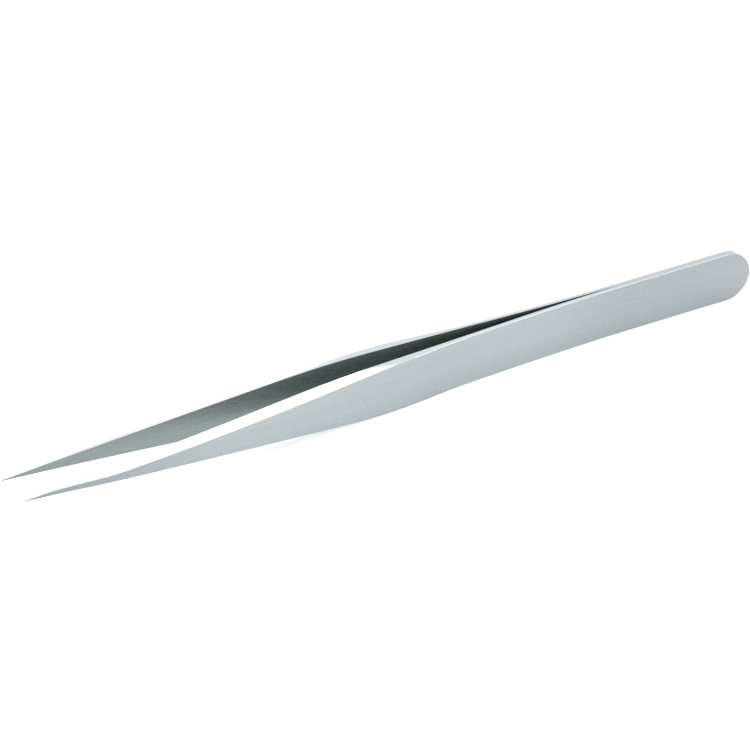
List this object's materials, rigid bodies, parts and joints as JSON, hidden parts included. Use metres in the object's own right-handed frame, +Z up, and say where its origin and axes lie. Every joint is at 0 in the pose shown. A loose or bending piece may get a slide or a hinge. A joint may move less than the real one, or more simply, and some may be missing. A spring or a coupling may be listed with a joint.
{
  "type": "tweezers",
  "caption": "Slender straight tweezers with fine needle tips, spring arms and a round welded head, for picking up small parts.",
  "frame": {"origin": "on the surface the tweezers lie on, below the middle of their length and between the arms", "axes": "+X from the tips towards the round head, +Y from the front arm towards the back arm, +Z up, across the width of the arms"},
  "size_m": [0.14, 0.0098, 0.009],
  "materials": {
    "front_arm": "satin, ground along the length, with bright ground flanks",
    "back_arm": "satin, ground along the length, with bright ground flanks"
  },
  "bodies": {
    "root": {"front_arm": "front_arm", "back_arm": "back_arm"}
  },
  "joints": []
}
